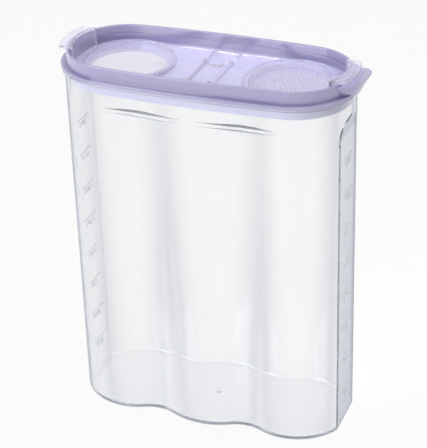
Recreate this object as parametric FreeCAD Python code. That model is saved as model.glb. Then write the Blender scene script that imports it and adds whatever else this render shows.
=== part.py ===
"""Dry food container: a clear ribbed bin with a tray lid and two flip flaps.

Millimetres. The origin is the middle of the base, +Z is up, +X runs along the long side towards the
lift lip and the sieve, and -Y is the front.
"""

import math
import os

import FreeCAD
import Part

# Overall plan and height. Every oval shares the centres of its end arcs and the bow of its long sides.
height = 245.0
end_centre = 55.2
bow = 1.8

# Container.
body_half = 38.0
body_draft = 0.5
wall = 2.0
base_thickness = 2.2
base_round = 3.0
floor_round = 2.0
gate_radius = 1.8
gate_height = 0.6
flange_reach = 1.9
flange_thickness = 1.6
flange_round = 0.5

# Three lobes on each long wall, deep at the base and shallow under the shoulder.
shoulder_drop = 16.2
lobe_radius_base = 44.0
groove_radius_base = 23.0
lobe_radius_top = 84.0
groove_radius_top = 47.0

# Flat panel at each end, which sweeps out to the full oval under the flange.
panel_depth = 3.6
panel_drop = 25.2
panel_sweep_radius = 30.0

# Clearances.
seat_gap = 0.2
fit_gap = 0.4
flap_gap = 0.5
swing_gap = 0.6
pin_gap = 0.35

# Lid: a tray with an upright rim, a flange that rests on the container and a plug inside its mouth.
lid_flange_cover = 0.2
lid_flange_thickness = 1.6
rim_height = 8.0
rim_wall = 1.6
rim_flare = 0.6
rim_round = 0.7
tray_depth = 13.0
tray_floor = 1.5
tray_step = 0.6
tray_step_depth = 5.0
plug_wall = 1.6
plug_depth = 8.0
plug_draft = 0.4

# Round openings in the tray, each with a raised neck and a seat.
opening_inset = 3.2
neck_height = 2.8
neck_wall = 1.8
neck_round = 0.5
seat_width = 1.8

# Lift lip at the sieve end of the lid.
lip_reach = 7.5
lip_drop = 1.4
lip_rise = 2.0
lip_lean = 6.2
lip_round = 0.3
lip_tip_radius = 16.0
lip_tip_angle = 60.0

# Flap hinges: a barrel with a pin at each end on the flap, and lugs on the bridge between the flaps.
hinge_x = 8.0
barrel_radius = 1.6
barrel_half_length = 14.0
pin_radius = 0.9
pin_short = 0.6
lug_wall = 0.65
lug_width = 4.0

# Bridge, held to the tray by two studs.
bridge_thickness = 1.8
bridge_end_gap = 1.0
pad_y = 13.5
pad_radius = 4.3
pad_height = 0.9
pad_round = 0.6
stud_radius = 2.3
stud_head_reach = 0.5
stud_head_height = 1.2

# Flaps: a flat plate, a round cap over the neck and a finger tab over the rim.
flap_thickness = 1.6
flap_edge_gap = 1.0
cap_margin = 2.2
cap_taper = 0.6
cap_wall = 1.3
cap_thickness = 1.3
ridge_height = 0.8
ridge_width = 1.4
tab_wall = 1.5
tab_thickness = 1.5
tab_clearance = 0.7
tab_overhang = 4.0
tab_half_width = 16.5
tab_round = 0.9

# Sieve that drops into the second neck.
sieve_rim_width = 1.3
sieve_thickness = 1.2
sieve_drop = 0.4
hole_radius = 1.15
hole_margin = 1.2
hole_rings = 5

# How far a cutting form reaches past the face that it cuts, and how level an edge is to count as level.
overrun = 2.0
level_tolerance = 0.25

# Heights, worked out from the top down.
rim_top_z = height - tab_thickness - tab_clearance
lid_flange_top_z = rim_top_z - rim_height
lid_flange_z = lid_flange_top_z - lid_flange_thickness
flange_top_z = lid_flange_z - seat_gap
flange_z = flange_top_z - flange_thickness
shoulder_z = flange_z - shoulder_drop
tray_z = rim_top_z - tray_depth
neck_top_z = tray_z + neck_height
flap_z = tray_z + flap_gap
flap_top_z = flap_z + flap_thickness
cap_under_z = neck_top_z + flap_gap
cap_top_z = cap_under_z + cap_thickness
ridge_top_z = cap_top_z + ridge_height

# Half widths and radii, worked out from the container's wall inwards.
body_half_base = body_half - body_draft
flange_half = body_half + flange_reach
lid_flange_half = flange_half + lid_flange_cover
plug_half = body_half - wall - fit_gap
tray_half = plug_half - plug_wall
rim_inner_half = tray_half + tray_step
rim_half = rim_inner_half + rim_wall
flap_half = tray_half - flap_gap
flap_end_radius = flap_half - bow
opening_x = end_centre - opening_inset
cap_radius_foot = flap_end_radius - cap_margin
cap_radius = cap_radius_foot - cap_taper
cap_bore_radius = cap_radius - cap_wall
neck_radius = cap_bore_radius - swing_gap
neck_bore_radius = neck_radius - neck_wall
seat_bore_radius = neck_bore_radius - seat_width

# Hinge places.
pin_bore_radius = pin_radius + pin_gap
lug_radius = pin_bore_radius + lug_wall
hinge_z = tray_z + fit_gap + lug_radius
lug_inner_y = barrel_half_length + fit_gap
lug_outer_y = lug_inner_y + lug_width
notch_outer_y = lug_outer_y + flap_gap
notch_x = hinge_x + lug_radius + swing_gap
flap_edge_x = hinge_x + flap_edge_gap
bridge_z = tray_z + seat_gap
bridge_top_z = bridge_z + bridge_thickness
bridge_half = hinge_x - swing_gap
bridge_waist = bridge_half - barrel_radius
stud_bore_radius = stud_radius + fit_gap


def at(x, y, z):
    return FreeCAD.Vector(x, y, z)


def arc(centre_x, centre_y, radius, start, end, z):
    """Arc about a centre between two angles in radians."""
    angles = (start, (start + end) / 2, end)
    points = [at(centre_x + radius * math.cos(a), centre_y + radius * math.sin(a), z) for a in angles]
    return Part.Arc(*points).toShape()


def oval(half_width, z):
    """Stadium with bowed long sides. Ovals of other widths are true offsets of it."""
    end_radius = half_width - bow
    side_radius = (end_centre ** 2 + half_width ** 2 - end_radius ** 2) / (2 * bow)
    side_y = half_width - side_radius
    turn = math.atan2(-side_y, end_centre)
    half_turn = math.pi
    return Part.Wire([
        arc(end_centre, 0, end_radius, -turn, turn, z),
        arc(0, side_y, side_radius, turn, half_turn - turn, z),
        arc(-end_centre, 0, end_radius, half_turn - turn, half_turn + turn, z),
        arc(0, -side_y, side_radius, half_turn + turn, 2 * half_turn - turn, z),
    ])


def lobed(half_width, lobe_radius, groove_radius, inset, z):
    """Oval with three lobes and two grooves on each long side, all arcs tangent, moved in by inset."""
    end_radius = half_width - bow
    lobe_y = half_width - lobe_radius
    to_lobe = lobe_radius + groove_radius
    to_end = end_radius + groove_radius
    span = math.hypot(end_centre, lobe_y)
    along = (to_lobe ** 2 - to_end ** 2 + span ** 2) / (2 * span)
    across = math.sqrt(to_lobe ** 2 - along ** 2)
    groove_x = (along * end_centre + across * lobe_y) / span
    groove_y = lobe_y + (across * end_centre - along * lobe_y) / span
    lobe_turn = math.atan2(groove_y - lobe_y, groove_x)
    end_turn = math.atan2(groove_y, groove_x - end_centre)
    lobe = lobe_radius - inset
    groove = groove_radius + inset
    end = end_radius - inset
    half_turn = math.pi
    return Part.Wire([
        arc(end_centre, 0, end, -end_turn, end_turn, z),
        arc(groove_x, groove_y, groove, end_turn - half_turn, lobe_turn - half_turn, z),
        arc(0, lobe_y, lobe, lobe_turn, half_turn - lobe_turn, z),
        arc(-groove_x, groove_y, groove, -lobe_turn, -end_turn, z),
        arc(-end_centre, 0, end, half_turn - end_turn, half_turn + end_turn, z),
        arc(-groove_x, -groove_y, groove, end_turn, lobe_turn, z),
        arc(0, -lobe_y, lobe, half_turn + lobe_turn, 2 * half_turn - lobe_turn, z),
        arc(groove_x, -groove_y, groove, half_turn - lobe_turn, half_turn - end_turn, z),
    ])


def loft(*wires):
    return Part.makeLoft(list(wires), True, True)


def oval_block(half_bottom, half_top, z_bottom, z_top):
    return loft(oval(half_bottom, z_bottom), oval(half_top, z_top))


def disc(x, y, radius, z_bottom, z_top):
    return Part.makeCylinder(radius, z_top - z_bottom, at(x, y, z_bottom))


def cone(x, radius_bottom, radius_top, z_bottom, z_top):
    return Part.makeCone(radius_bottom, radius_top, z_top - z_bottom, at(x, 0, z_bottom))


def rod(x, y_start, y_end, radius):
    """Round bar along Y at the height of the hinges."""
    return Part.makeCylinder(radius, y_end - y_start, at(x, y_start, hinge_z), at(0, 1, 0))


def block(x_start, x_end, y_start, y_end, z_bottom, z_top):
    size = (x_end - x_start, y_end - y_start, z_top - z_bottom)
    return Part.makeBox(*size, at(x_start, y_start, z_bottom))


def mirrored_x(shape):
    return shape.mirror(at(0, 0, 0), at(1, 0, 0))


def level_edges(shape, z):
    """Edges that lie at one height."""
    found = []
    for edge in shape.Edges:
        box = edge.BoundBox
        if max(abs(box.ZMin - z), abs(box.ZMax - z)) < level_tolerance:
            found.append(edge)
    return found


def end_panel_cutter(inset, bottom_z, round_radius):
    """What lies beyond the flat panel at the +X end: a leaning plane, rounded under and swept out above."""
    top_x = end_centre + body_half - bow - panel_depth - inset
    base_x = top_x - body_draft
    far_x = top_x + panel_depth + overrun
    sweep_z = flange_z - panel_drop
    radius = panel_sweep_radius + inset
    sweep_x = top_x + radius
    rise = math.acos((sweep_x - far_x) / radius)
    side_y = -body_half - overrun
    low_z = bottom_z - overrun

    def bend(centre_x, centre_z, bend_radius, turns):
        spots = [(bend_radius * math.cos(a), bend_radius * math.sin(a)) for a in turns]
        return [at(centre_x + x, side_y, centre_z + z) for x, z in spots]

    sweep = bend(sweep_x, sweep_z, radius, (math.pi - rise, math.pi - rise / 2, math.pi))
    foot = bend(base_x - round_radius, bottom_z + round_radius, round_radius, (0, -math.pi / 4, -math.pi / 2))
    outer = [foot[2], at(foot[2].x, side_y, low_z), at(far_x, side_y, low_z), sweep[0]]
    panel = Part.LineSegment(sweep[2], foot[0])
    edges = [curve.toShape() for curve in (Part.Arc(*sweep), panel, Part.Arc(*foot))]
    edges += [Part.LineSegment(a, b).toShape() for a, b in zip(outer, outer[1:])]
    return Part.Face(Part.Wire(edges)).extrude(at(0, -2 * side_y, 0))


def body_form(inset, bottom_z, round_radius):
    """Lobed lower walls, plain oval above the shoulder and flat end panels, moved in by inset."""
    ledge_z = shoulder_z + inset
    top_z = flange_top_z + (overrun if inset else 0)
    lower = loft(
        lobed(body_half_base, lobe_radius_base, groove_radius_base, inset, bottom_z),
        lobed(body_half, lobe_radius_top, groove_radius_top, inset, ledge_z),
    )
    lower = lower.makeFillet(round_radius, level_edges(lower, bottom_z))
    upper = oval_block(body_half - inset, body_half - inset, ledge_z, top_z)
    cutter = end_panel_cutter(inset, bottom_z, round_radius)
    return lower.fuse(upper).cut([cutter, mirrored_x(cutter)])


def make_container_body():
    flange = oval_block(flange_half, flange_half, flange_z, flange_top_z)
    flange = flange.makeFillet(flange_round, flange.Edges)
    outer = body_form(0, 0, base_round).fuse(flange)
    gate = disc(0, 0, gate_radius, base_thickness / 2, base_thickness + gate_height)
    return outer.cut(body_form(wall, base_thickness, floor_round)).fuse(gate).removeSplitter()


def lift_lip():
    """Pointed lip that leans out from the lid's flange and slopes up to its tip, past the rim's top."""
    tip_x = end_centre + lid_flange_half - bow + lip_reach
    tip_z = rim_top_z + lip_rise
    centre_x = tip_x - lip_tip_radius
    root_x = end_centre + tray_half - bow - overrun
    rim_x = end_centre + rim_half - bow
    rim_z = rim_top_z - lip_drop
    turn = math.radians(lip_tip_angle)

    def outline(centre, z):
        side_x = centre + lip_tip_radius * math.cos(turn)
        side_y = lip_tip_radius * math.sin(turn)
        root_y = side_y + (side_x - root_x) / math.tan(turn)
        tip = arc(centre, 0, lip_tip_radius, -turn, turn, z)
        corners = [(side_x, side_y), (root_x, root_y), (root_x, -root_y), (side_x, -side_y)]
        spots = [at(x, y, z) for x, y in corners]
        return Part.Wire([tip] + [Part.LineSegment(a, b).toShape() for a, b in zip(spots, spots[1:])])

    rake = lip_lean / (tip_z - lid_flange_z)
    top_x = centre_x + rake * (height - tip_z)
    lip = loft(outline(centre_x - lip_lean, lid_flange_z), outline(top_x, height))
    back_x = root_x - overrun
    far_x = tip_x + overrun
    far_z = height + overrun
    profile = [(back_x, rim_z), (rim_x, rim_z), (tip_x, tip_z), (far_x, tip_z)]
    profile += [(far_x, far_z), (back_x, far_z)]
    spots = [at(x, -body_half, z) for x, z in profile]
    lip = lip.cut(Part.Face(Part.makePolygon(spots + spots[:1])).extrude(at(0, 2 * body_half, 0)))
    low_z = rim_z - level_tolerance
    front_x = rim_x + level_tolerance
    edges = [edge for edge in lip.Edges if edge.BoundBox.ZMin > low_z and edge.BoundBox.XMax > front_x]
    return lip.makeFillet(lip_round, edges)


def make_lid_frame():
    flange = oval_block(lid_flange_half, lid_flange_half, lid_flange_z, lid_flange_top_z)
    flange = flange.makeFillet(flange_round, level_edges(flange, lid_flange_top_z))
    rim = oval_block(rim_half + rim_flare, rim_half, lid_flange_z, rim_top_z)
    plug = oval_block(plug_half - plug_draft, plug_half, lid_flange_z - plug_depth, lid_flange_z)
    lid = rim.fuse([flange, plug, lift_lip()])
    lid = lid.cut([
        oval_block(tray_half, tray_half, tray_z, rim_top_z),
        oval_block(rim_inner_half, rim_inner_half, rim_top_z - tray_step_depth, rim_top_z + overrun),
        oval_block(tray_half, tray_half, lid_flange_z - plug_depth - overrun, tray_z - tray_floor),
    ])
    lid = lid.makeFillet(rim_round, level_edges(lid, rim_top_z))
    for x in (-opening_x, opening_x):
        neck = disc(x, 0, neck_radius, tray_z - tray_floor, neck_top_z)
        neck = neck.makeFillet(neck_round, level_edges(neck, neck_top_z))
        lid = lid.fuse(neck)
        lid = lid.cut(disc(x, 0, neck_bore_radius, tray_z, neck_top_z + overrun))
        lid = lid.cut(disc(x, 0, seat_bore_radius, tray_z - tray_floor - overrun, neck_top_z))
    for y in (-pad_y, pad_y):
        lid = lid.cut(disc(0, y, stud_bore_radius, tray_z - tray_floor - overrun, tray_z + overrun))
    return lid.removeSplitter()


def make_hinge_bridge():
    half_length = tray_half - bridge_end_gap
    bridge = block(-bridge_half, bridge_half, -half_length, half_length, bridge_z, bridge_top_z)
    for side in (-1, 1):
        waist = sorted((side * bridge_waist, side * notch_x))
        bridge = bridge.cut(block(*waist, -lug_inner_y, lug_inner_y, bridge_z, bridge_top_z))
        for end in (-1, 1):
            across = sorted((side * bridge_waist, side * hinge_x))
            along = sorted((end * lug_inner_y, end * lug_outer_y))
            lug = block(*across, *along, hinge_z - lug_radius, hinge_z + lug_radius)
            bridge = bridge.fuse([lug, rod(side * hinge_x, *along, lug_radius)])
    bore_end = lug_outer_y + overrun
    for side in (-1, 1):
        bridge = bridge.cut(rod(side * hinge_x, -bore_end, bore_end, pin_bore_radius))
    head_top_z = tray_z - tray_floor - seat_gap
    for y in (-pad_y, pad_y):
        pad = disc(0, y, pad_radius, bridge_z, bridge_top_z + pad_height)
        pad = pad.makeFillet(pad_round, level_edges(pad, bridge_top_z + pad_height))
        stud = disc(0, y, stud_radius, head_top_z - stud_head_height, bridge_z)
        head = disc(0, y, stud_bore_radius + stud_head_reach, head_top_z - stud_head_height, head_top_z)
        bridge = bridge.fuse([pad, stud, head])
    return bridge.removeSplitter()


def finger_tab():
    """Upright wall at the end of a flap and the lip on it that reaches out over the rim, at +X."""
    lip_z = height - tab_thickness
    lip_radius = rim_half - bow + tab_overhang
    inner_radius = flap_end_radius - tab_wall
    upright = disc(end_centre, 0, flap_end_radius, flap_z, height)
    lip = disc(end_centre, 0, lip_radius, lip_z, height)
    hollow = disc(end_centre, 0, inner_radius, flap_z - overrun, height + overrun)
    reach = end_centre + lip_radius + overrun
    slab = block(end_centre, reach, -tab_half_width, tab_half_width, flap_z, height)
    tab = upright.fuse(lip).cut(hollow).common(slab).removeSplitter()
    return tab.makeFillet(tab_round, level_edges(tab, height))


def flap():
    """The flap at the +X end, closed."""
    reach = end_centre + body_half
    plate = oval_block(flap_half, flap_half, flap_z, flap_top_z)
    plate = plate.common(block(flap_edge_x, reach, -reach, reach, flap_z, flap_top_z))
    cap = cone(opening_x, cap_radius_foot, cap_radius, flap_z, ridge_top_z)
    root = block(hinge_x, notch_x, -barrel_half_length, barrel_half_length, flap_z, flap_top_z)
    barrel = rod(hinge_x, -barrel_half_length, barrel_half_length, barrel_radius)
    pin_end = lug_outer_y - pin_short
    pin = rod(hinge_x, -pin_end, pin_end, pin_radius)
    for end in (-1, 1):
        along = sorted((end * barrel_half_length, end * notch_outer_y))
        plate = plate.cut(block(hinge_x, notch_x, *along, flap_z, flap_top_z))
    shape = plate.fuse([cap, root, barrel, pin, finger_tab()])
    shape = shape.cut(disc(opening_x, 0, cap_bore_radius, flap_z - overrun, cap_under_z))
    shape = shape.cut(disc(opening_x, 0, cap_radius - ridge_width, cap_top_z, ridge_top_z + overrun))
    return shape.removeSplitter()


def make_strainer_disc():
    radius = neck_bore_radius - fit_gap
    bottom_z = tray_z + seat_gap
    top_z = neck_top_z - sieve_drop
    well_radius = radius - sieve_rim_width
    plate_top_z = bottom_z + sieve_thickness
    sieve = disc(opening_x, 0, radius, bottom_z, top_z)
    sieve = sieve.cut(disc(opening_x, 0, well_radius, plate_top_z, top_z + overrun))
    pitch = (well_radius - hole_margin - hole_radius) / hole_rings
    holes = []
    for row in range(-hole_rings, hole_rings + 1):
        count = 2 * hole_rings + 1 - abs(row)
        y = row * pitch * math.sin(math.pi / 3)
        for place in range(count):
            x = opening_x + (place - (count - 1) / 2) * pitch
            holes.append(disc(x, y, hole_radius, bottom_z - overrun, plate_top_z + overrun))
    return sieve.cut(holes)


def main():
    sieve_flap = flap()
    pieces = {
        "container_body": make_container_body(),
        "lid_frame": make_lid_frame(),
        "hinge_bridge": make_hinge_bridge(),
        "pour_flap": mirrored_x(sieve_flap),
        "sieve_flap": sieve_flap,
        "strainer_disc": make_strainer_disc(),
    }
    os.makedirs("parts", exist_ok=True)
    for name, shape in pieces.items():
        solids = shape.Solids
        if len(solids) != 1 or not shape.isValid():
            raise ValueError(f"{name} is not one valid solid: {len(solids)} solids")
        solids[0].exportStep(os.path.join("parts", name + ".step"))
        box = shape.BoundBox
        print(f"{name}: {box.XLength:.1f} x {box.YLength:.1f} x {box.ZLength:.1f} mm")


main()
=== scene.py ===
"""Looks of a clear dry food container with a lilac tray lid and two clear flaps.

Metres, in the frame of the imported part: the origin is the middle of the base, +Z is up and -Y is the front.
"""

import math

import bmesh
import bpy
from bpy.props import FloatProperty, FloatVectorProperty, IntProperty, PointerProperty
from mathutils import Matrix, Vector
from mathutils.bvhtree import BVHTree


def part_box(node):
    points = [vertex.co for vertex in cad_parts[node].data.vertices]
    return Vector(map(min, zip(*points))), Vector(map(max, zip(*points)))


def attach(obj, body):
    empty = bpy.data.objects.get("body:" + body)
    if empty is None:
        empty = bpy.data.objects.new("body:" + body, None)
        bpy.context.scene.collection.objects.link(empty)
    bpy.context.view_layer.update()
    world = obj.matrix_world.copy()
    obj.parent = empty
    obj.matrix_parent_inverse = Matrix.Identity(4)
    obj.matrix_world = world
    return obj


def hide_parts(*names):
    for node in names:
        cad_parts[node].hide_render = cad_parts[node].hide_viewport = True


bl_info = {
    "name": "Dry food container looks",
    "version": (1, 0, 0),
    "blender": (4, 5, 0),
    "location": "View3D > Sidebar > Container",
    "description": "Plastics, fill marks and studio for a dry food container",
    "category": "Object",
}

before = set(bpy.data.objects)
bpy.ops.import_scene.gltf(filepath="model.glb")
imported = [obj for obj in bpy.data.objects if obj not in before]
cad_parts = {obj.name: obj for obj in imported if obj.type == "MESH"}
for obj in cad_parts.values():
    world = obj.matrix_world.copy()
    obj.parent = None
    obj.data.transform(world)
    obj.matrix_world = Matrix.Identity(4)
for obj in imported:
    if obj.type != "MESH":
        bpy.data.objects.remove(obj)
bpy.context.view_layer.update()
BODY_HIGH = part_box("container_body")[1]

WHITE = (1.0, 1.0, 1.0)
CLEAR_IOR = 1.49
LILAC_IOR = 1.55
# Light from the lamps that each plastic lets pass.
CLEAR_FILM = (0.965, 0.97, 0.978)
FLAP_FILM = (0.95, 0.945, 0.97)
MARK_FILM = (0.85, 0.86, 0.88)
# How far round a point the lid's own walls shade it.
CREASE_REACH = 0.03
CREASE_SAMPLES = 16
# Heights, from the container's top, between which the paler colour painted on the lid's thin tray and plug,
# as light coming through them, gives way to its full colour.
LIT_THROUGH_FADE = (-0.0012, 0.0004)
# Corners that stand for a circle or a half circle.
SIEVE_CORNERS = 96
HOLE_CORNERS = 12
TICK_END_CORNERS = 8
# Lamps: name, setting that holds the power, place, width and depth.
SOFTBOXES = (
    ("key_softbox", "key", (-0.85, -1.35, 0.80), 0.8, 0.7),
    ("top_softbox", "top", (0.10, 0.25, 1.75), 1.0, 1.0),
    ("fill_softbox", "fill", (1.5, -0.5, 0.9), 0.8, 1.0),
)
FLOOR_REACH = 6.0
FLOOR_DROP = 0.0004
# Clear plastic seen through clear plastic needs many bounces, inside its walls too.
LIGHT_BOUNCES = 64


def colour(name, description, default):
    """A colour that a user can change."""
    return FloatVectorProperty(
        name=name, description=description, default=default, size=3, min=0.0, max=1.0, subtype="COLOR"
    )


def length(name, description, default):
    """A length in metres that a user can change."""
    return FloatProperty(
        name=name, description=description, default=default, min=0.0, precision=5, unit="LENGTH"
    )


def factor(name, description, default, high=1.0):
    """A share or strength that a user can change."""
    return FloatProperty(
        name=name, description=description, default=default, min=0.0, max=high, subtype="FACTOR"
    )


def angle(name, description, default):
    """An angle, given in degrees, that a user can change."""
    return FloatProperty(
        name=name, description=description, default=math.radians(default), unit="ROTATION"
    )


def power(name, description, default):
    """A lamp's power in watts that a user can change."""
    return FloatProperty(name=name, description=description, default=default, min=0.0, unit="POWER")


class ContainerPlastics(bpy.types.PropertyGroup):
    """Colours and finish of the moulded plastics."""

    clear_face: colour("Clear face", "Clear plastic seen square on", (0.992, 0.994, 0.996))
    # The flute, turn and edge colours are painted shade: grey bands on the groove sides and a dark slate tint
    # at the edges. Only part of the edge tint is the longer path through the plastic.
    clear_flute: colour("Clear flute", "Clear plastic on the sides of the grooves", (0.76, 0.767, 0.785))
    clear_slant: colour("Clear slant", "Clear plastic seen at a slant", (0.945, 0.95, 0.957))
    clear_turn: colour("Clear turn", "Clear plastic where it turns away", (0.25, 0.31, 0.41))
    clear_edge: colour("Clear edge", "Clear plastic seen along its surface", (0.06, 0.09, 0.16))
    clear_depth: colour("Clear depth", "Colour left in thick clear plastic", (0.45, 0.53, 0.64))
    clear_density: FloatProperty(
        name="Clear density", description="How fast thick clear plastic darkens",
        default=12.0, min=0.0, max=500.0,
    )
    clear_share: factor("Clear share", "Share of light that the clear plastic doesn't scatter", 0.965)
    lilac: colour("Lilac", "Main colour of the lid", (0.445, 0.42, 0.65))
    lilac_deep: colour("Deep lilac", "Darker drift in the lid's colour", (0.415, 0.39, 0.62))
    # Painted shade in the lid's inner corners and creases.
    lilac_crease: colour("Lilac crease", "Shade of the lid's colour in its inner corners", (0.46, 0.44, 0.57))
    # Painted light: the paler colour of the tray and plug stands in for light coming through the thin
    # plastic.
    lilac_thin: colour("Thin lilac", "Paler colour of the lid's thin tray and plug", (0.61, 0.592, 0.79))
    flap: colour("Flap", "Milky clear plastic of the flaps", (0.91, 0.90, 1.0))
    flap_shade: colour("Flap shade", "Darker drift in the flaps' colour", (0.885, 0.875, 0.985))
    flap_clear: factor("Flap clearness", "Share of light that passes straight through the flaps", 0.81)
    mark: colour("Marks", "Frosted relief of the fill marks", (0.88, 0.885, 0.895))


class FillMarks(bpy.types.PropertyGroup):
    """Places and sizes of the fill marks on the end panels."""

    count: IntProperty(
        name="Marks", description="Number of fill marks on each end panel", default=8, min=1, max=20
    )
    lowest: length("Lowest mark", "Height of the lowest fill mark", 0.0262)
    pitch: length("Pitch", "Height from one fill mark to the next", 0.02348)
    first_volume: IntProperty(
        name="First volume", description="Millilitres at the lowest mark", default=250, min=1
    )
    volume_step: IntProperty(
        name="Volume step", description="Millilitres from mark to mark", default=250, min=1
    )
    tick_length: length("Tick length", "Length of a fill line", 0.0170)
    tick_width: length("Tick width", "Width of a fill line", 0.00055)
    relief: length("Relief", "How far a fill mark stands out", 0.00015)
    number_size: length("Number size", "Type size of the numbers", 0.0056)
    number_gap: length("Number gap", "Space between a fill line and its number", 0.0008)


class SieveSizes(bpy.types.PropertyGroup):
    """Sizes of the fine sieve in the second opening."""

    rim_width: length("Rim width", "Width of the upright rim round the sieve", 0.0013)
    thickness: length("Thickness", "Thickness of the perforated plate", 0.0004)
    hole_pitch: length("Hole pitch", "Distance from hole to hole", 0.0030)
    hole_radius: length("Hole radius", "Radius of a hole", 0.00098)
    margin: length("Margin", "Plain plate between the holes and the rim", 0.0008)


class StudioSettings(bpy.types.PropertyGroup):
    """Camera, floor and light."""

    azimuth: angle("Azimuth", "Camera's turn from the front towards +X", 22.0522)
    elevation: angle("Elevation", "Camera's rise above the level", 29.594)
    distance: length("Distance", "Camera's distance from the middle of the container", 1.06872)
    aim_height: length("Aim height", "Height that the camera circles", 0.120)
    tilt: angle("Tilt", "Turn of the camera above its aim", 0.403)
    roll: angle("Roll", "Turn of the camera about its axis", -1.9168)
    lens: FloatProperty(name="Lens", description="Focal length in millimetres", default=136.39, min=1.0)
    floor: colour("Floor", "Colour of the floor", (0.93, 0.93, 0.935))
    backdrop_share: factor("Backdrop share", "Share of the floor that shows plain white", 0.86)
    ambient: factor("Ambient", "Strength of the even light", 0.52, 2.0)
    key: power("Key", "Power of the key softbox", 12.5)
    top: power("Top", "Power of the softbox overhead", 8.0)
    fill: power("Fill", "Power of the fill softbox", 3.0)


def opaque(rgb):
    """A colour with full alpha."""
    return (*rgb, 1.0)


class Finish:
    """A material under construction: one Principled shader and the nodes that feed it."""

    def __init__(self, name):
        self.material = bpy.data.materials.new(name)
        self.material.use_nodes = True
        self.tree = self.material.node_tree
        self.tree.nodes.clear()
        self.output = self.add("ShaderNodeOutputMaterial")
        self.shader = self.add("ShaderNodeBsdfPrincipled")
        self.link(self.shader.outputs["BSDF"], self.output.inputs["Surface"])
        self.place = self.add("ShaderNodeTexCoord").outputs["Object"]

    def add(self, kind, **settings):
        """A new node with the given settings."""
        node = self.tree.nodes.new(kind)
        for name, value in settings.items():
            setattr(node, name, value)
        return node

    def link(self, source, target):
        """Joins an output to an input."""
        self.tree.links.new(source, target)

    def set(self, **sockets):
        """Sets the shader's own sockets, with the words of a socket's name joined by underscores."""
        for name, value in sockets.items():
            self.shader.inputs[name.replace("_", " ")].default_value = value

    def stretched(self, scale):
        """The piece's coordinates, stretched along its axes."""
        mapping = self.add("ShaderNodeMapping")
        mapping.inputs["Scale"].default_value = scale
        self.link(self.place, mapping.inputs["Vector"])
        return mapping.outputs["Vector"]

    def noise(self, scale, detail=2.0, place=None):
        """A cloudy pattern, with scale in features per metre."""
        node = self.add("ShaderNodeTexNoise")
        node.inputs["Scale"].default_value = scale
        node.inputs["Detail"].default_value = detail
        self.link(place or self.place, node.inputs["Vector"])
        return node.outputs["Fac"]

    def span(self, source, low, high, start=0.3, end=0.7):
        """Spreads a pattern over a range of values."""
        node = self.add("ShaderNodeMapRange")
        for name, value in (("From Min", start), ("From Max", end), ("To Min", low), ("To Max", high)):
            node.inputs[name].default_value = value
        self.link(source, node.inputs["Value"])
        return node.outputs["Result"]

    def ramp(self, source, *stops):
        """Colours along a pattern, as pairs of place and colour."""
        node = self.add("ShaderNodeValToRGB")
        elements = node.color_ramp.elements
        while len(elements) < len(stops):
            elements.new(1.0)
        for element, (place, rgb) in zip(elements, stops):
            element.position = place
            element.color = opaque(rgb)
        self.link(source, node.inputs["Fac"])
        return node.outputs["Color"]

    def tinted(self, base, over):
        """One colour multiplied by another."""
        node = self.add("ShaderNodeMix", data_type="RGBA", blend_type="MULTIPLY")
        node.inputs["Factor"].default_value = 1.0
        self.link(base, node.inputs["A"])
        self.link(over, node.inputs["B"])
        return node.outputs["Result"]

    def bump(self, source, strength, depth):
        """Relief in the shading, with depth in metres."""
        node = self.add("ShaderNodeBump")
        node.inputs["Strength"].default_value = strength
        node.inputs["Distance"].default_value = depth
        self.link(source, node.inputs["Height"])
        self.link(node.outputs["Normal"], self.shader.inputs["Normal"])

    def lets_light_through(self, rgb):
        """Light from the lamps passes the plastic, so what is behind it isn't in a hard shadow."""
        path = self.add("ShaderNodeLightPath")
        film = self.add("ShaderNodeBsdfTransparent")
        film.inputs["Color"].default_value = opaque(rgb)
        mix = self.add("ShaderNodeMixShader")
        self.link(path.outputs["Is Shadow Ray"], mix.inputs["Fac"])
        self.link(self.shader.outputs["BSDF"], mix.inputs[1])
        self.link(film.outputs["BSDF"], mix.inputs[2])
        self.link(mix.outputs["Shader"], self.output.inputs["Surface"])

    def dress(self, *names):
        """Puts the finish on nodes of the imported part."""
        for name in names:
            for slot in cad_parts[name].material_slots:
                slot.material = self.material


def clear_plastic(plastics):
    """Clear moulded plastic: faint flow lines, a tint that gathers where it is seen along its surface, and
    painted shade on the sides of the grooves and at its edges.
    """
    finish = Finish("clear_moulded_plastic")
    finish.set(Transmission_Weight=plastics.clear_share, IOR=CLEAR_IOR)
    # Painted shade: a grey band where the plastic is seen at the slant of the groove sides, and a dark slate
    # tint, near black, where it turns away and is seen along its surface. Only part of it is the tint of a
    # longer path through the plastic.
    facing = finish.add("ShaderNodeLayerWeight")
    edge = finish.ramp(
        facing.outputs["Facing"],
        (0.16, plastics.clear_face), (0.34, plastics.clear_flute), (0.46, plastics.clear_slant),
        (0.70, plastics.clear_slant), (0.77, plastics.clear_turn), (0.87, plastics.clear_edge),
    )
    drift = finish.ramp(finish.noise(scale=14.0), (0.3, (0.985, 0.988, 0.99)), (0.7, WHITE))
    finish.link(finish.tinted(edge, drift), finish.shader.inputs["Base Color"])
    gloss = finish.span(finish.noise(scale=60.0, detail=4.0), low=0.012, high=0.045)
    finish.link(gloss, finish.shader.inputs["Roughness"])
    flow = finish.noise(scale=22.0, place=finish.stretched((1.0, 1.0, 0.25)))
    finish.bump(flow, strength=0.006, depth=0.0008)
    inside = finish.add("ShaderNodeVolumeAbsorption")
    inside.inputs["Color"].default_value = opaque(plastics.clear_depth)
    inside.inputs["Density"].default_value = plastics.clear_density
    finish.link(inside.outputs["Volume"], finish.output.inputs["Volume"])
    finish.lets_light_through(CLEAR_FILM)
    return finish


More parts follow.
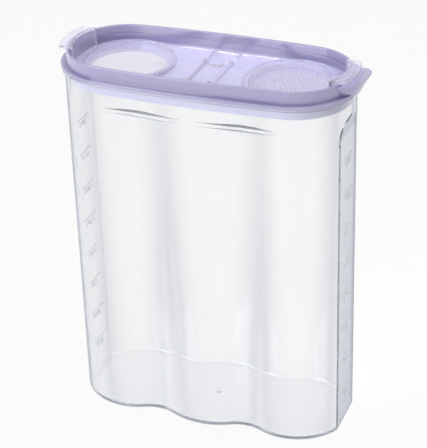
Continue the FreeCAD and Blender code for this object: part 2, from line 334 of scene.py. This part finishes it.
def lid_plastic(name, plastics, thin):
    """Lilac moulded plastic with a soft gloss and painted shade in its inner corners; below the container's
    top it takes the colour thin, painted light that stands in for light coming through thin plastic.
    """
    finish = Finish(name)
    finish.set(IOR=LILAC_IOR, Coat_Weight=0.8, Coat_Roughness=0.03)
    drift = finish.noise(scale=18.0, detail=3.0)
    tone = finish.ramp(drift, (0.3, plastics.lilac_deep), (0.7, plastics.lilac))
    # Painted shade: the lid's colour darkens in its inner corners and creases, where its own walls close in
    # round a point.
    open_air = finish.add("ShaderNodeAmbientOcclusion", samples=CREASE_SAMPLES, only_local=True)
    open_air.inputs["Distance"].default_value = CREASE_REACH
    crease = finish.ramp(open_air.outputs["AO"], (0.35, plastics.lilac_crease), (0.85, WHITE))
    # Painted light: below the container's top the lid's thin tray and plug take the paler colour thin,
    # standing in for light that comes through thin plastic.
    split = finish.add("ShaderNodeSeparateXYZ")
    finish.link(finish.place, split.inputs["Vector"])
    start, end = (BODY_HIGH.z + height for height in LIT_THROUGH_FADE)
    rise = finish.span(split.outputs["Z"], low=0.0, high=1.0, start=start, end=end)
    shade = finish.add("ShaderNodeMix", data_type="RGBA")
    shade.inputs["A"].default_value = opaque(thin)
    finish.link(rise, shade.inputs["Factor"])
    finish.link(finish.tinted(tone, crease), shade.inputs["B"])
    finish.link(shade.outputs["Result"], finish.shader.inputs["Base Color"])
    gloss = finish.span(finish.noise(scale=900.0), low=0.10, high=0.16)
    finish.link(gloss, finish.shader.inputs["Roughness"])
    finish.bump(finish.noise(scale=240.0), strength=0.03, depth=0.00012)
    return finish


def flap_plastic(plastics):
    """Clear plastic with a trace of milkiness, as the flaps and the hinge bridge have."""
    finish = Finish("milky_clear_plastic")
    finish.set(Transmission_Weight=plastics.flap_clear, IOR=CLEAR_IOR)
    drift = finish.noise(scale=30.0, detail=3.0)
    tone = finish.ramp(drift, (0.3, plastics.flap_shade), (0.7, plastics.flap))
    finish.link(tone, finish.shader.inputs["Base Color"])
    gloss = finish.span(finish.noise(scale=80.0, detail=3.0), low=0.05, high=0.11)
    finish.link(gloss, finish.shader.inputs["Roughness"])
    finish.bump(finish.noise(scale=120.0), strength=0.05, depth=0.0003)
    finish.lets_light_through(FLAP_FILM)
    return finish


def frosted_plastic(plastics):
    """Matt relief moulded into the clear plastic."""
    finish = Finish("frosted_relief")
    finish.set(Transmission_Weight=0.5, IOR=CLEAR_IOR)
    shade = [0.94 * channel for channel in plastics.mark]
    tone = finish.ramp(finish.noise(scale=400.0), (0.3, shade), (0.7, plastics.mark))
    finish.link(tone, finish.shader.inputs["Base Color"])
    gloss = finish.span(finish.noise(scale=2500.0), low=0.5, high=0.7)
    finish.link(gloss, finish.shader.inputs["Roughness"])
    finish.bump(finish.noise(scale=4000.0), strength=0.15, depth=0.00003)
    finish.lets_light_through(MARK_FILM)
    return finish


def ring_points(centre, radius, count):
    """Corners of a circle."""
    turns = [2 * math.pi * step / count for step in range(count)]
    x, y = centre
    return [(x + radius * math.cos(turn), y + radius * math.sin(turn)) for turn in turns]


def evaluated_mesh(name, curve):
    """The mesh of a curve, which is removed."""
    holder = bpy.data.objects.new(name, curve)
    bpy.context.scene.collection.objects.link(holder)
    bpy.context.view_layer.update()
    final = holder.evaluated_get(bpy.context.evaluated_depsgraph_get())
    mesh = bpy.data.meshes.new_from_object(final)
    bpy.data.objects.remove(holder)
    bpy.data.curves.remove(curve)
    return mesh


def piece_from(name, shape):
    """An object made of a finished bmesh, which is freed."""
    mesh = bpy.data.meshes.new(name)
    shape.to_mesh(mesh)
    shape.free()
    piece = bpy.data.objects.new(name, mesh)
    bpy.context.scene.collection.objects.link(piece)
    return piece


def perforated_plate(sizes, radius):
    """A thin round plate with rows of fine holes, centred on the origin."""
    curve = bpy.data.curves.new("sieve_plate", "CURVE")
    curve.dimensions = "2D"
    curve.fill_mode = "BOTH"
    curve.extrude = sizes.thickness / 2
    rings = [ring_points((0.0, 0.0), radius, SIEVE_CORNERS)]
    reach = radius - sizes.rim_width - sizes.margin - sizes.hole_radius
    row_step = sizes.hole_pitch * math.sin(math.pi / 3)
    rows = int(reach / row_step)
    columns = int(reach / sizes.hole_pitch) + 1
    for row in range(-rows, rows + 1):
        shift = sizes.hole_pitch / 2 * (row % 2)
        for column in range(-columns, columns + 1):
            spot = (column * sizes.hole_pitch + shift, row * row_step)
            if math.hypot(*spot) <= reach:
                rings.append(ring_points(spot, sizes.hole_radius, HOLE_CORNERS))
    for ring in rings:
        spline = curve.splines.new("POLY")
        spline.points.add(len(ring) - 1)
        spline.use_cyclic_u = True
        for point, (x, y) in zip(spline.points, ring):
            point.co = (x, y, 0.0, 1.0)
    return evaluated_mesh("sieve_plate", curve)


def sieve_piece(name, sizes):
    """The sieve: an upright rim with a rounded top edge and a finely perforated plate inside it."""
    low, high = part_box("strainer_disc")
    middle = (low + high) / 2
    outer = (high.x - low.x) / 2
    inner = outer - sizes.rim_width
    curve = sizes.rim_width / 4
    profile = [(inner, low.z), (outer, low.z), (outer, high.z - curve), (outer - curve, high.z)]
    profile += [(inner + curve, high.z), (inner, high.z - curve)]
    shape = bmesh.new()
    rings = []
    centre = Vector((middle.x, middle.y, 0.0))
    for x, y in ring_points((0.0, 0.0), 1.0, SIEVE_CORNERS):
        out = Vector((x, y, 0.0))
        rings.append([shape.verts.new(centre + out * r + Vector((0.0, 0.0, z))) for r, z in profile])
    for ring, after in zip(rings, rings[1:] + rings[:1]):
        for corner in range(len(profile)):
            following = (corner + 1) % len(profile)
            shape.faces.new((ring[corner], after[corner], after[following], ring[following]))
    plate = perforated_plate(sizes, inner + sizes.rim_width / 2)
    plate.transform(Matrix.Translation((middle.x, middle.y, low.z + sizes.thickness)))
    shape.from_mesh(plate)
    bpy.data.meshes.remove(plate)
    bmesh.ops.recalc_face_normals(shape, faces=shape.faces)
    return piece_from(name, shape)


class CONTAINER_OT_clear_body(bpy.types.Operator):
    """Give the container its clear plastic"""

    bl_idname = "container.clear_body"
    bl_label = "Clear container"

    def execute(self, context):
        clear_plastic(context.scene.container_plastics).dress("container_body")
        return {"FINISHED"}


class CONTAINER_OT_lid(bpy.types.Operator):
    """Give the tray lid and its sieve their lilac plastic"""

    bl_idname = "container.lid"
    bl_label = "Lid and sieve"

    def execute(self, context):
        plastics = context.scene.container_plastics
        lid_plastic("lilac_moulded_plastic", plastics, plastics.lilac_thin).dress("lid_frame")
        sieve = lid_plastic("lilac_sieve_plastic", plastics, plastics.lilac)
        sieve.dress("strainer_disc")
        piece = sieve_piece("fine_sieve", context.scene.sieve_sizes)
        piece.data.materials.append(sieve.material)
        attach(piece, "lid")
        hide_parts("strainer_disc")
        return {"FINISHED"}


class CONTAINER_OT_flaps(bpy.types.Operator):
    """Give the flaps and the hinge bridge their clear plastic"""

    bl_idname = "container.flaps"
    bl_label = "Flaps and hinge bridge"

    def execute(self, context):
        flap_plastic(context.scene.container_plastics).dress("pour_flap", "sieve_flap", "hinge_bridge")
        return {"FINISHED"}


def tick_mesh(marks):
    """A fill line with round ends that stands out a little, centred on its place and facing +Z."""
    half = marks.tick_width / 2
    reach = marks.tick_length / 2 - half
    outline = []
    for side, start in ((1, -math.pi / 2), (-1, math.pi / 2)):
        for step in range(TICK_END_CORNERS + 1):
            turn = start + math.pi * step / TICK_END_CORNERS
            outline.append((side * reach + half * math.cos(turn), half * math.sin(turn)))
    shape = bmesh.new()
    under, upper = ([shape.verts.new((x, y, z)) for x, y in outline] for z in (0.0, marks.relief))
    shape.faces.new(under[:1] + under[:0:-1])
    shape.faces.new(upper)
    for corner in range(len(outline)):
        shape.faces.new((under[corner - 1], under[corner], upper[corner], upper[corner - 1]))
    mesh = bpy.data.meshes.new("tick")
    shape.to_mesh(mesh)
    shape.free()
    return mesh


def number_mesh(marks, volume):
    """A number in plain figures, centred under its place and facing +Z."""
    text = bpy.data.curves.new("figures", "FONT")
    text.body = str(volume)
    text.size = marks.number_size
    text.extrude = marks.relief / 2
    text.align_x = "CENTER"
    text.align_y = "TOP"
    text.resolution_u = 4
    mesh = evaluated_mesh("figures", text)
    drop = marks.tick_width / 2 + marks.number_gap
    mesh.transform(Matrix.Translation((0.0, -drop, marks.relief / 2)))
    return mesh


def panel_marks(name, side, marks, surface):
    """All fill marks of one end panel, set on its surface and read from outside."""
    outward = Vector((side, 0.0, 0.0))
    along = Vector((0.0, side, 0.0))
    shape = bmesh.new()
    for row in range(marks.count):
        height = marks.lowest + row * marks.pitch
        start = outward * 2 * BODY_HIGH.x + Vector((0.0, 0.0, height))
        spot, normal, _, _ = surface.ray_cast(start, -outward)
        if spot is None:
            raise ValueError(f"no end panel at {height:.4f} m")
        up = normal.cross(along)
        stand = Matrix((along, up, normal)).transposed().to_4x4()
        stand.translation = spot
        volume = marks.first_volume + row * marks.volume_step
        for mesh in (tick_mesh(marks), number_mesh(marks, volume)):
            mesh.transform(stand)
            shape.from_mesh(mesh)
            bpy.data.meshes.remove(mesh)
    return piece_from(name, shape)


class CONTAINER_OT_fill_marks(bpy.types.Operator):
    """Put the fill marks on both end panels"""

    bl_idname = "container.fill_marks"
    bl_label = "Fill marks"

    def execute(self, context):
        scene = context.scene
        frosted = frosted_plastic(scene.container_plastics).material
        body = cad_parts["container_body"].data
        corners = [vertex.co for vertex in body.vertices]
        surface = BVHTree.FromPolygons(corners, [face.vertices for face in body.polygons])
        for name, side in (("fill_marks_pour_end", -1.0), ("fill_marks_sieve_end", 1.0)):
            piece = panel_marks(name, side, scene.fill_marks, surface)
            piece.data.materials.append(frosted)
            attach(piece, "container")
        return {"FINISHED"}


def any_of(tree, *sources):
    """1 where any of the given switches is 1."""
    joined = sources[0]
    for source in sources[1:]:
        node = tree.nodes.new("ShaderNodeMath")
        node.operation = "MAXIMUM"
        tree.links.new(joined, node.inputs[0])
        tree.links.new(source, node.inputs[1])
        joined = node.outputs["Value"]
    return joined


def seen_rays(tree):
    """1 for rays that the camera sees, straight, mirrored or through clear plastic."""
    path = tree.nodes.new("ShaderNodeLightPath")
    kinds = ("Camera", "Glossy", "Transmission")
    return any_of(tree, *(path.outputs[f"Is {kind} Ray"] for kind in kinds))


def floor_material(studio):
    """Pale matt floor that shows mostly white and keeps a soft shadow."""
    material = bpy.data.materials.new("studio_floor")
    material.use_nodes = True
    tree = material.node_tree
    tree.nodes.clear()
    output = tree.nodes.new("ShaderNodeOutputMaterial")
    matt = tree.nodes.new("ShaderNodeBsdfDiffuse")
    matt.inputs["Color"].default_value = opaque(studio.floor)
    white = tree.nodes.new("ShaderNodeEmission")
    share = tree.nodes.new("ShaderNodeMath")
    share.operation = "MULTIPLY"
    share.inputs[1].default_value = studio.backdrop_share
    tree.links.new(seen_rays(tree), share.inputs[0])
    mix = tree.nodes.new("ShaderNodeMixShader")
    tree.links.new(share.outputs["Value"], mix.inputs["Fac"])
    tree.links.new(matt.outputs["BSDF"], mix.inputs[1])
    tree.links.new(white.outputs["Emission"], mix.inputs[2])
    tree.links.new(mix.outputs["Shader"], output.inputs["Surface"])
    return material


def studio_world(studio):
    """Even light, seen as plain white."""
    world = bpy.data.worlds.new("studio_world")
    world.use_nodes = True
    tree = world.node_tree
    tree.nodes.clear()
    output = tree.nodes.new("ShaderNodeOutputWorld")
    sky = tree.nodes.new("ShaderNodeBackground")
    level = tree.nodes.new("ShaderNodeMapRange")
    level.inputs["To Min"].default_value = studio.ambient
    level.inputs["To Max"].default_value = 1.0
    tree.links.new(seen_rays(tree), level.inputs["Value"])
    tree.links.new(level.outputs["Result"], sky.inputs["Strength"])
    tree.links.new(sky.outputs["Background"], output.inputs["Surface"])
    return world


def softbox(name, place, watts, width, depth):
    """An area lamp that faces the middle of the container."""
    lamp = bpy.data.lights.new(name, "AREA")
    lamp.shape = "RECTANGLE"
    lamp.size = width
    lamp.size_y = depth
    lamp.energy = watts
    holder = bpy.data.objects.new(name, lamp)
    bpy.context.scene.collection.objects.link(holder)
    aim = Vector((0.0, 0.0, BODY_HIGH.z / 2)) - Vector(place)
    turn = aim.to_track_quat("-Z", "Y").to_matrix().to_4x4()
    holder.matrix_world = Matrix.Translation(place) @ turn


def studio_camera(studio):
    """The camera at the photograph's angle."""
    lens = bpy.data.cameras.new("studio_camera")
    lens.lens = studio.lens
    lens.clip_start = 0.05
    holder = bpy.data.objects.new("studio_camera", lens)
    bpy.context.scene.collection.objects.link(holder)
    across, along = math.sin(studio.azimuth), math.cos(studio.azimuth)
    level = math.cos(studio.elevation)
    out = Vector((level * across, -level * along, math.sin(studio.elevation)))
    place = Vector((0.0, 0.0, studio.aim_height)) + studio.distance * out
    down = studio.tilt - studio.elevation
    ahead = Vector((-across * math.cos(down), along * math.cos(down), math.sin(down)))
    right = Vector((along, across, 0.0))
    up = right.cross(ahead)
    turn, lift = math.cos(studio.roll), math.sin(studio.roll)
    axes = Matrix((turn * right + lift * up, turn * up - lift * right, -ahead)).transposed().to_4x4()
    holder.matrix_world = Matrix.Translation(place) @ axes
    return holder


class CONTAINER_OT_studio(bpy.types.Operator):
    """Set up the floor, the light and the camera"""

    bl_idname = "container.studio"
    bl_label = "Studio"

    def execute(self, context):
        scene = context.scene
        studio = scene.container_studio
        mesh = bpy.data.meshes.new("studio_floor")
        signs = ((-1, -1), (1, -1), (1, 1), (-1, 1))
        corners = [(x * FLOOR_REACH, y * FLOOR_REACH, -FLOOR_DROP) for x, y in signs]
        mesh.from_pydata(corners, [], [(0, 1, 2, 3)])
        mesh.materials.append(floor_material(studio))
        floor = bpy.data.objects.new("studio_floor", mesh)
        scene.collection.objects.link(floor)
        scene.world = studio_world(studio)
        for name, setting, place, width, depth in SOFTBOXES:
            softbox(name, place, getattr(studio, setting), width, depth)
        scene.camera = studio_camera(studio)
        scene.view_settings.view_transform = "Standard"
        scene.cycles.max_bounces = LIGHT_BOUNCES
        scene.cycles.transmission_bounces = LIGHT_BOUNCES
        scene.cycles.glossy_bounces = LIGHT_BOUNCES
        return {"FINISHED"}


STEPS = (
    CONTAINER_OT_clear_body,
    CONTAINER_OT_lid,
    CONTAINER_OT_flaps,
    CONTAINER_OT_fill_marks,
    CONTAINER_OT_studio,
)


class CONTAINER_PT_looks(bpy.types.Panel):
    """Steps and settings of the container's looks"""

    bl_idname = "CONTAINER_PT_looks"
    bl_label = "Dry food container"
    bl_space_type = "VIEW_3D"
    bl_region_type = "UI"
    bl_category = "Container"

    def draw(self, context):
        layout = self.layout
        for step in STEPS:
            layout.operator(step.bl_idname)
        scene = context.scene
        groups = (scene.container_plastics, scene.fill_marks, scene.sieve_sizes, scene.container_studio)
        for group in groups:
            box = layout.box()
            for name in group.__annotations__:
                box.prop(group, name)


CLASSES = (ContainerPlastics, FillMarks, SieveSizes, StudioSettings) + STEPS + (CONTAINER_PT_looks,)


def register():
    for cls in CLASSES:
        bpy.utils.register_class(cls)
    bpy.types.Scene.container_plastics = PointerProperty(type=ContainerPlastics)
    bpy.types.Scene.fill_marks = PointerProperty(type=FillMarks)
    bpy.types.Scene.sieve_sizes = PointerProperty(type=SieveSizes)
    bpy.types.Scene.container_studio = PointerProperty(type=StudioSettings)


def unregister():
    del bpy.types.Scene.container_studio
    del bpy.types.Scene.sieve_sizes
    del bpy.types.Scene.fill_marks
    del bpy.types.Scene.container_plastics
    for cls in reversed(CLASSES):
        bpy.utils.unregister_class(cls)


def main():
    register()
    bpy.ops.container.clear_body()
    bpy.ops.container.lid()
    bpy.ops.container.flaps()
    bpy.ops.container.fill_marks()
    bpy.ops.container.studio()


if __name__ == "__main__":
    main()
